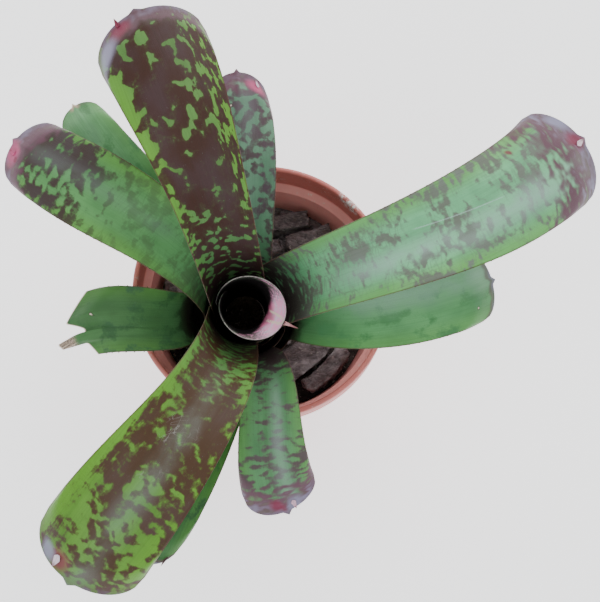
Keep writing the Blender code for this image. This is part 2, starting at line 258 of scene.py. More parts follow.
# How each leaf is shaped, in millimetres and degrees about the plant's axis.
# azimuth: where it points. ring: the sheath's radius. foot, collar: heights of its ends.
# wrap: how far the sheath reaches round to each side at its foot.
# spine: the points that steer the blade's midrib after the collar, as (out, side, up).
# widths: four half widths that steer the blade from collar to tip, along its curve.
# trough: radius of the channel in mid blade. bow: radius of the cross curve at the tip,
#   negative where the margins turn down. cap: length of the rounded end.
# lip: how far the tube's lip flares. tear: the ragged end, as (share across, length lost),
#   negative where the dried strip still hangs on.
LEAVES = {
    "leaf_heart": dict(
        azimuth=-24, ring=11, foot=32, collar=92, wrap=200,
        spine=[(11, 0, 99), (11, 0, 105), (11, 0, 111), (11, 0, 118)],
        widths=(38.4, 38.4, 38.4, 38.4), trough=11, bow=11, cap=12, lip=8,
    ),
    "leaf_back_tall": dict(
        azimuth=114, ring=14.2, foot=24.5, collar=78, wrap=105,
        spine=[(14, 0, 105), (34, -6, 132), (86, -11, 142), (142, -9, 110)],
        widths=(18.5, 10, 25, 29), trough=26, bow=-40, cap=20,
    ),
    "leaf_front_tall": dict(
        azimuth=-126, ring=16.1, foot=22, collar=74, wrap=100,
        spine=[(16, 0, 104), (25, 21, 136), (79, 7, 152), (139, 10, 126)],
        widths=(17, 12, 26, 28), trough=28, bow=-42, cap=19,
    ),
    "leaf_right_tall": dict(
        azimuth=25, ring=18.0, foot=19.5, collar=66, wrap=95,
        spine=[(18, 0, 98), (51, -2, 132), (99, -19, 142), (172, 4, 108)],
        widths=(17, 15, 22, 27), trough=26, bow=-40, cap=14,
    ),
    "leaf_left_back": dict(
        azimuth=146, ring=19.9, foot=17, collar=48, wrap=90,
        spine=[(20, 0, 72), (35, -18, 98), (83, -1, 104), (138, -6, 69)],
        widths=(12, 17, 23, 17), trough=30, bow=-38, cap=11,
    ),
    "leaf_front": dict(
        azimuth=-77, ring=21.8, foot=14.5, collar=44, wrap=85,
        spine=[(22, 0, 64), (28, 16, 86), (56, -10, 98), (97, -1, 80)],
        widths=(10, 10, 16, 19), trough=30, bow=-38, cap=13,
    ),
    "leaf_back": dict(
        azimuth=85, ring=23.7, foot=12, collar=38, wrap=80,
        spine=[(24, 0, 58), (39, 7, 78), (69, 5, 88), (116, 14, 68)],
        widths=(11, 15, 20, 12), trough=30, bow=-38, cap=13,
    ),
    "leaf_right_low": dict(
        azimuth=4, ring=25.6, foot=10, collar=34, wrap=75,
        spine=[(26, 0, 58), (49, -11, 86), (79, -6, 98), (120, 6, 76)],
        widths=(15, 16, 20, 16), trough=32, bow=-120, cap=11,
    ),
    "leaf_left_torn": dict(
        azimuth=-178, ring=27.5, foot=8, collar=28, wrap=70,
        spine=[(28, 0, 42), (35, 10, 58), (57, -6, 66), (87, 6, 52)],
        widths=(11, 16, 17, 15), trough=30, bow=-90, cap=10,
        tear=[
            (-1, 13), (-0.6, 6), (-0.25, -1), (0.1, 8), (0.22, 9), (0.28, -9), (0.5, -7), (0.56, 8), (1, 13),
        ],
    ),
    "leaf_back_old": dict(
        azimuth=130, ring=29.4, foot=6, collar=24, wrap=65,
        spine=[(30, 0, 38), (56, 3, 56), (93, 5, 64), (137, -1, 40)],
        widths=(17, 17, 16, 10), trough=34, bow=-120, cap=11,
    ),
    "leaf_front_low": dict(
        azimuth=-107, ring=31.3, foot=4, collar=24, wrap=60,
        spine=[(32, 0, 44), (48, -5, 70), (82, 0, 88), (127, -9, 72)],
        widths=(16, 18, 16, 9), trough=34, bow=-120, cap=16,
    ),
}

MAGENTA = (0.200, 0.018, 0.050)
PINK = (0.520, 0.085, 0.200)
# Painted sheen: this lilac stands for sky reflected off the turned-down edges near the leaf tips.
SHEEN_LILAC = (0.260, 0.250, 0.360)
PURPLE_BROWN = (0.125, 0.052, 0.078)
LIME = (0.130, 0.360, 0.020)
CUP_GREEN = (0.085, 0.225, 0.095)
# The cup dark is partly the leaf's dark base and partly painted shade; the foot dark is painted shade in the
# sheaths.
CUP_DARK_AND_SHADE = (0.024, 0.013, 0.014)
FOOT_PAINTED_SHADE = (0.006, 0.004, 0.004)
VEIN = (0.020, 0.025, 0.012)
# Pale scurf; also used for the painted sheen in the pale band along some blades.
SCURF_AND_SHEEN = (0.400, 0.560, 0.500)
WORN = (0.350, 0.350, 0.320)
UNDERSIDE = (0.100, 0.150, 0.100)
MARGIN = (0.100, 0.040, 0.030)
CREAM = (0.850, 0.700, 0.560)
STRAW = (0.420, 0.310, 0.220)
DRIED = (0.055, 0.040, 0.032)
PIT_BROWN = (0.030, 0.020, 0.020)
PIT_RUST = (0.050, 0.030, 0.035)
PIT_BLACK = (0.020, 0.020, 0.015)

# How each leaf is coloured. All places and lengths are in millimetres.
# dark, light: the mottling's two colours. cover: how much of the blade the dark takes, at even
#   steps from collar to tip. patch: width and length of a patch at the collar, then at the tip.
# broad: how unevenly the patches gather. soft: how much they fade into each other.
# faint: how pale the dark is on the lower half. net: strength of the fine dark cross lines.
# streak: the side where patches are drawn out lengthwise, and how much. border: a greener
#   margin, as (side, where across it starts, strength). lime: how yellow both margins are.
# flush: how far in from the end the purple reaches, and its strength, which also sets the painted lilac
# sheen on the end's rim.
# pale band: partly pale scurf and partly painted sheen, as (share across, width, strength).
# spots: marks, as (across, distance from the end, radius, colour); the lilac ones are painted sheen.
# foot: the share of the length that the cup's dark colour and painted shade cover.
# wear: fine scratches, as (across, distance from the end, radius). scratch: one long scratch,
#   from (across, along) to (across, along). strip: a dried strip, as shares across.
PLAIN = dict(patch=((7, 14), (7, 14)), broad=0.5, soft=0.9)
SKINS = {
    "leaf_back_tall": dict(
        dark=(0.046, 0.019, 0.013), light=(0.100, 0.230, 0.055), cover=(0.78, 0.66, 0.84, 0.80, 0.86),
        patch=((4.2, 2.8), (5.2, 7)), broad=0.32, soft=0.15, streak=(-1, 0.6), border=(1, 0.50, 0.22),
        lime=0.55, flush=(14, 0.8), spots=[(10, 6, 8, MAGENTA), (20, 10, 9, SHEEN_LILAC)], foot=0.24, seed=7,
    ),
    "leaf_front_tall": dict(
        dark=(0.062, 0.031, 0.015), light=(0.110, 0.270, 0.035), cover=(0.85, 0.58, 0.92, 0.58, 0.44),
        patch=((5, 2.2), (4.2, 3.8)), broad=0.85, soft=0.70, net=0.25, streak=(-1, 0.35),
        border=(-1, 0.75, 0.3), lime=0.5, flush=(7, 0.4), scurf_and_sheen_band=(0.1, 0.4, 0.15),
        spots=[(-8.7, 6, 7, MAGENTA), (-15, 4, 6, SHEEN_LILAC)], foot=0.22, wear=(-1.7, 75.7, 26), seed=12,
    ),
    "leaf_right_tall": dict(
        dark=(0.130, 0.150, 0.115), light=(0.165, 0.500, 0.240), cover=(1.35, 0.34, 0.36, 0.46, 0.80),
        patch=((5, 2.2), (5.5, 3.4)), broad=1.0, soft=0.8, net=0.65, lime=0.55,
        flush=(30, 1.25), scurf_and_sheen_band=(-0.25, 0.45, 0.5), scratch=(5.2, 92.0, 0.9, 136.6),
        spots=[(16.3, 36.3, 2.2, MAGENTA), (2, 5, 7, MAGENTA), (14, 2, 7, SHEEN_LILAC)], foot=0.26, seed=21,
    ),
    "leaf_left_back": dict(
        dark=(0.052, 0.034, 0.028), light=(0.105, 0.300, 0.095), cover=(0.62, 0.50, 0.42, 0.70, 0.80),
        patch=((5, 2.6), (5.5, 4)), broad=0.8, soft=0.65, faint=0.6, net=0.4, lime=0.4,
        flush=(20, 1.2), scurf_and_sheen_band=(-0.1, 0.4, 0.1),
        spots=[(5, 4, 8, PINK), (7, 9, 2, MAGENTA)], foot=0.24, seed=33,
    ),
    "leaf_front": dict(
        dark=(0.095, 0.072, 0.070), light=(0.100, 0.270, 0.110), cover=(1.30, 0.80, 0.26, 0.66, 0.80),
        patch=((4.5, 2.8), (5.5, 2.6)), broad=0.9, soft=0.85, net=0.3, lime=0.3,
        flush=(16, 1.2), scurf_and_sheen_band=(0.2, 0.35, 0.3),
        spots=[(-3, 5, 5, MAGENTA), (5, 3, 6, SHEEN_LILAC)], foot=0.50, seed=41,
    ),
    "leaf_back": dict(
        dark=(0.078, 0.050, 0.056), light=(0.130, 0.280, 0.170), cover=(0.50, 0.46, 0.42, 0.54, 0.86),
        patch=((4, 3.5), (4.5, 4.5)), broad=0.5, soft=0.55, net=0.15, flush=(16, 1.2),
        scurf_and_sheen_band=(-0.2, 0.4, 0.1), foot=0.20, seed=55,
        spots=[(-8, 8, 6, PINK), (4.1, 20.8, 1.4, PIT_BROWN), (4.1, 20.8, 0.7, CREAM)],
    ),
    "leaf_right_low": dict(
        PLAIN, dark=(0.070, 0.215, 0.075), light=(0.120, 0.345, 0.130), cover=(0.90, 0.40, 0.30, 0.25, 0.25),
        lime=0.25, flush=(5, 0.9), scurf_and_sheen_band=(0.3, 0.7, 0.35),
        spots=[(-9.6, 12.9, 1.5, PIT_RUST), (-9.6, 12.9, 0.8, CREAM)], foot=0.20, seed=61,
    ),
    "leaf_left_torn": dict(
        PLAIN, dark=(0.036, 0.105, 0.036), light=(0.066, 0.175, 0.056), cover=(0.95, 0.50, 0.35, 0.30, 0.40),
        lime=0.2, strip=(0.22, 0.27, 0.50, 0.55),
        spots=[(-3.6, 15.4, 1.4, PIT_BLACK), (-3.6, 15.4, 0.8, CREAM)], foot=0.30, seed=73,
    ),
    "leaf_back_old": dict(
        PLAIN, dark=(0.070, 0.200, 0.070), light=(0.120, 0.310, 0.120), cover=(0.50, 0.40, 0.30, 0.30, 0.35),
        lime=0.2, flush=(2, 0.4), scurf_and_sheen_band=(0.0, 0.6, 0.1),
        spots=[(0, 1, 3.5, STRAW), (0, 0, 2, CREAM)], foot=0.20, seed=81,
    ),
    "leaf_front_low": dict(
        PLAIN, dark=(0.025, 0.080, 0.025), light=(0.050, 0.165, 0.045), cover=(0.50, 0.35, 0.30, 0.30, 0.35),
        lime=0.2, flush=(4, 0.9), spots=[], foot=0.20, seed=97,
    ),
}


def plant_frame():
    """The matrix that carries the plant's own frame into the part's frame."""
    up = PLANT_AXIS
    across = (Vector((1, 0, 0)) - up * up.x).normalized()
    turn = Matrix((across, up.cross(across), up)).transposed()
    return Matrix.Translation(STEM_FOOT) @ turn.to_4x4()


def smooth(value):
    """Runs from 0 to 1 with level ends, and holds outside that."""
    value = np.clip(value, 0, 1)
    return value * value * (3 - 2 * value)


def bezier(points, share):
    """The point a share of the way along the Bezier curve that the points steer."""
    last = len(points) - 1
    weights = [math.comb(last, k) * (1 - share) ** (last - k) * share ** k for k in range(last + 1)]
    return sum(weight * np.array(point, float) for weight, point in zip(weights, points))


def leaf_surface(leaf):
    """The leaf's middle surface as rows by columns of points, with what the shader reads."""
    columns = TUBE_COLUMNS if "lip" in leaf else BLADE_COLUMNS
    ring, foot, collar = (leaf[key] * MM for key in ("ring", "foot", "collar"))
    spiral = HEART_SPIRAL if leaf["wrap"] > 180 else 0.0
    across = np.linspace(-1, 1, columns + 1)

    # Sheath: part of an onion-shaped shell round the plant's axis
    share = np.linspace(0, 1, SHEATH_ROWS + 1)[:-1, None] ** ROW_CROWDING
    up = foot + (collar - foot) * share
    swell = 1 - (1 - np.clip((up - foot) / BULGE_HEIGHT, 0, 1)) ** 2
    collar_angle = leaf["widths"][0] * MM / ring
    angle = (math.radians(leaf["wrap"]) * (1 - smooth(share)) + collar_angle * smooth(share)) * across
    radius = (STEM_RADIUS + SHEATH_GAP) * (1 - swell) + ring * swell + spiral * angle
    sheath = np.stack([radius * np.cos(angle), radius * np.sin(angle), up + 0 * angle], -1)

    # Blade: an arc swept along a Bezier midrib, opening from the sheath's curve
    fine = np.linspace(0, 1, 200)[:, None]
    path = bezier([(leaf["ring"], 0, leaf["collar"]), *leaf["spine"]], fine) * MM
    run = np.concatenate([[0], np.cumsum(np.linalg.norm(np.diff(path, axis=0), axis=1))])
    length = run[-1]
    cut_back = 1 - (1 - np.abs(across) ** CAP_POWER) ** (1 / CAP_POWER)
    point = END_POINT * np.exp(-(across / END_POINT_SHARE) ** 2)
    end = length - leaf["cap"] * MM * cut_back + point
    if "tear" in leaf:
        end = length - np.interp(across, *zip(*leaf["tear"])) * MM
    rows = 1 - (1 - np.linspace(0, 1, BLADE_ROWS + 1)[:, None]) ** ROW_CROWDING
    at = rows * end
    middle = np.stack([np.interp(at, run, path[:, k]) for k in range(3)], -1)
    beyond = np.maximum(at - length, 0)[..., None]
    slope = np.gradient(path, axis=0)
    tangent = np.stack([np.interp(at, run, slope[:, k]) for k in range(3)], -1)
    tangent /= np.linalg.norm(tangent, axis=-1, keepdims=True)
    middle = middle + tangent * beyond
    side = np.array([0.0, 1.0, 0.0]) - tangent * tangent[..., 1:2]
    side /= np.linalg.norm(side, axis=-1, keepdims=True)
    inward = np.cross(tangent, side)
    reach = at / length
    half = bezier(leaf["widths"], reach) * MM
    opening, flattening = smooth(reach / OPENS_BY), smooth((reach - FLATTENS_FROM) / FLATTENS_OVER)
    curve = ((1 - opening) / ring + opening / (leaf["trough"] * MM)) * (1 - flattening)
    curve = curve + flattening / (leaf["bow"] * MM)
    bent = half * across * curve
    flare = smooth((reach - LIP_FROM) / (1 - LIP_FROM)) * np.exp(-(bent / LIP_SPREAD) ** 2)
    flare = leaf.get("lip", 0) * MM * flare
    radius = 1 / curve + spiral * bent + flare
    droop = 0 if spiral else HOOK * smooth(1 - (end - at) / HOOK_LENGTH)
    blade = (middle + side * (radius * np.sin(bent))[..., None]
             + inward * (1 / curve - radius * np.cos(bent) - droop)[..., None])

    surface = np.concatenate([sheath, blade])
    stored = {
        "along": np.concatenate([up - collar + 0 * angle, at]) / MM,
        "across": np.concatenate([radius[:1] * 0 + ring * angle, half * across]) / MM,
        "reach": np.concatenate([(up - collar) / length + 0 * angle, reach]),
        "share": across + np.zeros(surface.shape[:2]),
        "to_end": np.concatenate([end - up + collar, end - at]) / MM,
    }
    heading = math.radians(leaf["azimuth"])
    cos, sin = math.cos(heading), math.sin(heading)
    out, round_, up = np.moveaxis(surface, -1, 0)
    points = np.stack([out * cos - round_ * sin, out * sin + round_ * cos, up], -1)
    turn = np.array(plant_frame())
    return points @ turn[:3, :3].T + turn[:3, 3], stored


def closed_sheet(name, upper, lower, values):
    """A closed skin from two grids of points, with values stored at the points of both."""
    rows, across = upper.shape[:2]
    corners = np.concatenate([upper.reshape(-1, 3), lower.reshape(-1, 3)])
    index = np.arange(rows * across).reshape(rows, across)
    top = np.stack([index[:-1, :-1], index[1:, :-1], index[1:, 1:], index[:-1, 1:]], -1).reshape(-1, 4)
    under = top[:, ::-1] + rows * across
    loop = np.concatenate([index[0], index[1:, -1], index[-1, -2::-1], index[-2:0:-1, 0]])
    ahead = np.roll(loop, -1)
    wall = np.stack([loop, ahead, ahead + rows * across, loop + rows * across], -1)
    faces = np.concatenate([top, under, wall]).tolist()
    stored = {key: np.tile(value.reshape(-1), 2) for key, value in values.items()}
    stored["upper"] = np.repeat([1.0, 0.0], rows * across)
    return name, corners, faces, stored


def build_mesh(name, corners, faces, stored):
    """A smooth mesh that carries the stored values at its points."""
    mesh = bpy.data.meshes.new(name)
    mesh.from_pydata(corners.tolist(), [], faces)
    for key, value in stored.items():
        mesh.attributes.new(key, "FLOAT", "POINT").data.foreach_set("value", value.astype(np.float32))
    mesh.shade_smooth()
    mesh.validate()
    return mesh


def surface_normals(points):
    """Unit directions at each point of a grid: lengthwise, sideways and out of the surface."""
    lengthwise, sideways = np.gradient(points, axis=0), np.gradient(points, axis=1)
    lengthwise /= np.linalg.norm(lengthwise, axis=-1, keepdims=True)
    sideways /= np.linalg.norm(sideways, axis=-1, keepdims=True)
    normal = np.cross(lengthwise, sideways)
    normal /= np.linalg.norm(normal, axis=-1, keepdims=True)
    return lengthwise, sideways, normal


def leaf_mesh(name, leaf):
    """A thin closed skin: the middle surface moved up and down, with fine spines on its margins."""
    points, stored = leaf_surface(leaf)
    lengthwise, sideways, normal = surface_normals(points)
    rim = np.minimum(smooth(1 - stored["share"] ** 8), smooth(stored["to_end"] / 3))
    half = (EDGE_HALF + (SKIN_HALF - EDGE_HALF) * rim)[..., None]
    name, corners, faces, values = closed_sheet(name, points + normal * half, points - normal * half, stored)
    if "lip" not in leaf:
        spines, owners = [], []
        for column, away in ((0, -1), (-1, 1)):
            edge, run = points[:, column], stored["along"][:, column]
            for mark in np.arange(SPINES_FROM, run[-1] - SPINES_STOP_SHORT, SPINE_PITCH):
                row = int(np.searchsorted(run, mark))
                ahead = lengthwise[row, column] * SPINE_BASE
                point = edge[row] + sideways[row, column] * away * SPINE_REACH + ahead * 1.5
                lift = normal[row, column] * SPINE_BASE * 0.4
                root = edge[row] - sideways[row, column] * away * SPINE_BASE * 0.4
                spines += [root - ahead, root + ahead, root + lift, root - lift, point]
                owners += [row * points.shape[1] + column % points.shape[1]] * 5
        first = len(corners)
        corners = np.concatenate([corners, spines])
        for start in range(first, len(corners), 5):
            ring = (start, start + 2, start + 1, start + 3)
            faces += [(ring[k], ring[(k + 1) % 4], start + 4) for k in range(4)] + [ring[::-1]]
        values = {key: np.concatenate([value, value[owners]]) for key, value in values.items()}
    return build_mesh(name, corners, faces, values)


def mottled(paint, skin, along, across, reach, share):
    """Light and dark patches: broad clouds decide where the fine patches gather."""
    seed = float(skin["seed"])
    drift = reach.rise(0.12, 0.55)
    (base_wide, base_long), (tip_wide, tip_long) = skin["patch"]
    warp = paint.noise(paint.vector(across / 8, along / 8, seed), 1.0, 1) * 1.3
    low = paint.noise(paint.vector(across / base_wide + warp, along / base_long + warp, seed), 1.0, 0.8, 0.5)
    high = paint.noise(paint.vector(across / tip_wide, along / tip_long + warp, seed + 5), 1.0, 0.8, 0.5)
    broad = paint.noise(paint.vector(across / 14, along / 20, seed + 11), 1.0, 2, 0.5)
    ragged = paint.noise(paint.vector(across * 0.9, along * 0.7, seed + 13), 1.0, 3, 0.6)
    pattern = low * (1 - drift) + high * drift
    cover = paint.curve(reach, [0.5 + (part - 0.5) * 0.42 for part in skin["cover"]])
    cover = cover + (broad - 0.5) * skin["broad"] + (ragged - 0.5) * 0.10
    if "streak" in skin:
        side, strength = skin["streak"]
        drawn = paint.noise(paint.vector(across / 2, along / 8, seed + 7), 1.0, 2, 0.5)
        margin = (share * side).rise(0.2, 0.8) * min(1.0, strength * 1.6) * drift
        pattern = pattern * (1 - margin) + drawn * margin
        cover = cover - margin * (strength * 0.2)
    if "border" in skin:
        side, start, strength = skin["border"]
        cover = cover - (share * side).rise(start, 0.98) * drift * strength
    crisp = (cover - pattern).rise(-0.012, 0.020)
    faded = (cover - pattern + (ragged - 0.5) * 0.25).rise(-0.08, 0.14)
    shade = crisp * (1 - skin["soft"]) + faded * skin["soft"]
    if "faint" in skin:
        shade = shade * (1 - reach.rise(0.70, 0.45) * skin["faint"])
    if "net" in skin:
        rings = paint.vector(across / 9 + warp, along / 2.4 + warp, seed)
        lines = paint.cells(rings, 1.0, "Distance", "DISTANCE_TO_EDGE").rise(0.10, 0.02)
        shade = shade.math("MAXIMUM", lines * broad.rise(0.35, 0.6) * (skin["net"] * (1 - drift * 0.4)))
    return shade, pattern


def leaf_skin(name, skin):
    """Mottled leathery skin, told how far along and across the leaf each point lies."""
    paint = Paint(name)
    along, across, reach, share, to_end, upper = (
        paint.value(key) for key in ("along", "across", "reach", "share", "to_end", "upper")
    )
    edge = share.math("ABSOLUTE")
    seed = float(skin["seed"])
    shade, pattern = mottled(paint, skin, along, across, reach, share)
    cloud = paint.noise(paint.vector(across / 16, along / 26, seed + 9), 1.0, 3)
    veins = paint.noise(paint.vector(across * 1.4, along / 40, seed), 1.0, 2, 0.5)
    pores = paint.noise(paint.vector(across * 2.2, along * 1.6, seed), 1.0, 2, 0.6)

    # Two tones of each colour, yellower towards the margins, with fine lengthwise veins
    deeper = tuple(channel * 0.72 for channel in skin["light"])
    light_tone = paint.mix(cloud.rise(0.35, 0.7), skin["light"], deeper)
    light_tone = paint.mix(edge.rise(0.45, 0.95) * skin.get("lime", 0), light_tone, LIME)
    light_tone = paint.mix(reach.rise(0.5, 0.12) * 0.55, light_tone, CUP_GREEN)
    cooler = tuple(channel * 1.1 + cool for channel, cool in zip(skin["dark"], (0.004, 0.008, 0.015)))
    dark_tone = paint.mix(cloud.rise(0.4, 0.7), skin["dark"], cooler)
    colour = paint.mix(shade, light_tone, dark_tone)
    colour = paint.mix((veins.rise(0.4, 0.75) + pores.rise(0.5, 0.8)) * 0.13, colour, VEIN)

    # Scurf and painted sheen: a pale band, partly fine scales and partly painted sheen, and scattered flecks
    # of scurf
    if "scurf_and_sheen_band" in skin:
        middle, width, strength = skin["scurf_and_sheen_band"]
        sheen_mask = (share - middle).math("ABSOLUTE").rise(width, 0.0) * reach.rise(0.2, 0.45) * strength
        colour = paint.mix(sheen_mask * (0.45 + pores * 0.9) * cloud.rise(0.25, 0.6), colour, SCURF_AND_SHEEN)
    specks = paint.cells(paint.vector(across * 1.1, along * 0.8, seed), 1.0).rise(0.12, 0.04)
    gathered = paint.noise(paint.vector(across / 3, along / 3, seed + 3), 1.0, 2).rise(0.5, 0.65)
    flecks = specks * gathered
    colour = paint.mix(flecks * 0.3, colour, SCURF_AND_SHEEN)

    if "wear" in skin:
        worn_across, worn_back, radius = skin["wear"]
        near = ((across - worn_across) ** 2 * 4 + (to_end - worn_back) ** 2) ** 0.5
        drag = paint.noise(paint.vector(across / 3, along / 11, seed + 21), 1.0, 1) - 0.5
        slant = paint.vector((across + along) / 5, (along - across) / 13, seed + 23)
        cross = paint.noise(slant, 1.0, 1) - 0.5
        lines = drag.math("ABSOLUTE").math("MINIMUM", cross.math("ABSOLUTE")).rise(0.009, 0.002)
        worn = lines * near.rise(radius, radius * 0.4) * cloud.rise(0.45, 0.6)
        colour = paint.mix(worn * 0.5, colour, WORN)
    if "scratch" in skin:
        from_across, start, to_across, stop = skin["scratch"]
        lean = (to_across - from_across) / (stop - start)
        off = (across - from_across - (along - start) * lean + (pores - 0.5) * 0.8).math("ABSOLUTE")
        line = off.rise(0.4, 0.1) * along.rise(start, start + 3) * along.rise(stop, stop - 3)
        colour = paint.mix(line * 0.45, colour, SCURF_AND_SHEEN)

    # The end: a purple flush that breaks up inward, a painted lilac sheen on its rim, and spots, where the
    # lilac spots are painted sheen too
    if "flush" in skin:
        depth, strength = skin["flush"]
        inward = to_end + (pattern + cloud - 1) * depth * 1.4
        colour = paint.mix(inward.rise(depth, depth * 0.5) * min(0.92, strength * 0.7), colour, PURPLE_BROWN)
        # Painted sheen: a lilac rim at the end, standing for reflected sky.
        tip_sheen = inward.rise(depth * 0.4, 0.0) * cloud.rise(0.35, 0.6)
        colour = paint.mix(tip_sheen * (strength * 0.6), colour, SHEEN_LILAC)
    # Spots in the lilac colour are painted sheen where the tips' edges turn down.
    for spot_across, spot_back, radius, tint in skin["spots"]:
        away = ((across - spot_across) ** 2 + (to_end - spot_back) ** 2) ** 0.5
        away = away + (cloud - 0.5) * radius * 0.8 + (pores - 0.5) * radius * 0.25
        colour = paint.mix(away.rise(radius, radius * 0.25) * 0.85, colour, tint)

    # Painted shade: the foot darkens in the cup, partly its own dark colour and partly painted shade, and
    # goes nearly black with painted shade deep in the sheaths; the underside is duller, and the margin is
    # brown
    cup_shade = reach.rise(skin["foot"], skin["foot"] * 0.35)
    colour = paint.mix(cup_shade * (0.35 + shade * 0.55), colour, CUP_DARK_AND_SHADE)
    colour = paint.mix(reach.rise(0.06, -0.04) * 0.8, colour, FOOT_PAINTED_SHADE)
    colour = paint.mix(upper, paint.mix(0.45, colour, UNDERSIDE), colour)
    colour = paint.mix(edge.rise(0.965, 0.995) * 0.6, colour, MARGIN)
    if "strip" in skin:
        start, full, still_full, stop = skin["strip"]
        strip = share.rise(start, full) * share.rise(stop, still_full) * reach.rise(0.93, 0.99)
        colour = paint.mix(strip, colour, paint.mix(pores.rise(0.4, 0.6), DRIED, STRAW))
        pale = to_end.rise(1.1, 0.3).math("MAXIMUM", strip * veins.rise(0.5, 0.62) * 0.8)
        colour = paint.mix(pale * 0.8, colour, CREAM)

    ribs = paint.noise(paint.vector(across * 1.3, along / 25, seed), 1.0, 3, 0.6)
    relief = paint.bump(ribs * 0.6 + pores * 0.5 - shade * 0.15, 0.16 * MM)
    gloss = 0.42 + (ribs - 0.5) * 0.15 + flecks * 0.2 + cloud * 0.1
    return paint.finish(Base_Color=colour, Roughness=gloss, Normal=relief, Specular_IOR_Level=0.18)


# Painted shade: the near black inside the heart's tube.
TUBE_PAINTED_SHADE = (0.006, 0.005, 0.005)
TUBE_GREEN = (0.110, 0.140, 0.100)
TUBE_OUTSIDE = ((0.020, 0.013, 0.012), (0.050, 0.070, 0.040))
LIP_PINK = (1.0, 0.42, 0.64)
LIP_PALE = (0.84, 0.60, 0.72)
LIP_THROAT = (0.50, 0.05, 0.14)
LIP_GREY = (0.150, 0.125, 0.145)
LIP_GREEN = (0.075, 0.095, 0.060)
TUBE_RIM = (0.50, 0.44, 0.42)


def heart_skin():
    """The rolled heart leaf: painted near black inside as painted shade, silvery at the rim, pink on the two
    lobes of its lip.
    """
    paint = Paint("leaf_heart_skin")
    along, across, share, to_end, upper = (
        paint.value(key) for key in ("along", "across", "share", "to_end", "upper")
    )
    blotch = paint.noise(paint.vector(across / 3, along / 2), 1.0, 2.5)
    fine = paint.noise(paint.vector(across * 1.5, along * 1.5), 1.0, 3, 0.6)
    ringed = share.rise(-0.75, -0.50) * share.rise(0.90, 0.70)
    # Painted shade: the deep inside of the tube is painted near black, with green blotches near the end.
    inside = paint.mix(to_end.rise(7, 2) * blotch.rise(0.45, 0.6) * ringed, TUBE_PAINTED_SHADE, TUBE_GREEN)

    # The lip: two pink lobes, deep pink in the throat, mottled grey and green further round
    away = (share - 0.02).math("ABSOLUTE")
    lip = paint.mix(blotch.rise(0.4, 0.62), LIP_PINK, LIP_PALE)
    lip = paint.mix(to_end.rise(9, 13) * 0.7, lip, LIP_THROAT)
    lip = paint.mix(away.rise(0.10, 0.22) * fine.rise(0.40, 0.56) * 0.8, lip, LIP_GREY)
    lip = paint.mix(away.rise(0.17, 0.28) * blotch.rise(0.40, 0.50) * 0.85, lip, LIP_GREEN)
    reached = (to_end + share.math("ABSOLUTE") * 38 + (blotch - 0.5) * 6).rise(20, 14)
    colour = paint.mix(reached, inside, lip)
    for lean in (0.20, -0.10):
        crease = (across - to_end * lean + (fine - 0.5) * 0.8).math("ABSOLUTE").rise(0.7, 0.3)
        colour = paint.mix(crease * to_end.rise(15, 12) * fine.rise(0.35, 0.5), colour, CREAM)
    colour = paint.mix(to_end.rise(1.3, 0.5) * ringed * fine.rise(0.3, 0.6) * 0.8, colour, TUBE_RIM)
    colour = paint.mix(upper, paint.mix(blotch.rise(0.5, 0.6), *TUBE_OUTSIDE), colour)
    relief = paint.bump(fine, 0.2 * MM)
    gloss = 0.42 + fine * 0.2
    return paint.finish(Base_Color=colour, Roughness=gloss, Normal=relief, Specular_IOR_Level=0.25)


for leaf_name, leaf in LEAVES.items():
    if leaf_name == "leaf_heart":
        skin_material = heart_skin()
    else:
        skin_material = leaf_skin(leaf_name + "_skin", SKINS[leaf_name])
    add_piece(leaf_name + "_blade", leaf_mesh(leaf_name, leaf), skin_material, "leaf", leaf_name)


# Leaf points
# The hard point at the end of eight of the leaves, dried and folded like paper. Each is a thin pointed
# scale, creased down its middle, that grows out of the blade's upper face close to the end.

# As (leaf, across, distance from the end, length, width, curl, colour) in millimetres.
POINTS = [
    ("leaf_back_tall", 9, 1, 6, 2.6, 0.10, MAGENTA),
    ("leaf_right_tall", 0, 5, 7, 3.2, 0.05, (0.75, 0.58, 0.64)),
    ("leaf_front_tall", -8.7, 4.5, 7.5, 4, 0.05, (0.80, 0.66, 0.74)),
    ("leaf_left_back", 5, 4, 6, 3, 0.05, PINK),
    ("leaf_back", -9, 5, 5.5, 2.2, 0.05, (0.80, 0.60, 0.70)),
    ("leaf_front", 4, 2.5, 5, 2.8, 0.05, (0.70, 0.45, 0.55)),
    ("leaf_heart", 0, 2, 13, 2.8, -0.55, (0.80, 0.42, 0.42)),
    ("leaf_front_low", 6.8, 1, 5, 2.4, 0.10, (0.10, 0.05, 0.05)),
]
POINT_HALF = 0.12 * MM
POINT_TIP = (0.160, 0.030, 0.035)


def point_mesh(name, leaf, across, back, length, width, curl):
    """A creased, pointed scale that lies along the blade at the given place."""
    points, stored = leaf_surface(leaf)
    away = np.abs(stored["across"] - across) + np.abs(stored["to_end"] - back) * 1.01
    spot = np.unravel_index(away.argmin(), away.shape)
    lengthwise, sideways, normal = (grid[spot] for grid in surface_normals(points))
    along, aside = np.meshgrid(np.linspace(0, 1, 14), np.linspace(-1, 1, 9), indexing="ij")
    half_width = width / 2 * (1 - 0.98 * along) ** 0.8 * np.minimum(1, 0.35 + along * 4)
    run = length * (along - 0.45)
    rise = 0.55 + np.abs(aside) * half_width * 0.5 + curl * length * along ** 2
    place = np.multiply.outer(run, lengthwise) + np.multiply.outer(aside * half_width, sideways)
    place = points[spot] + (place + np.multiply.outer(rise, normal)) * MM
    lift = surface_normals(place)[2] * POINT_HALF
    return build_mesh(*closed_sheet(name, place + lift, place - lift, {"along": along, "aside": aside}))


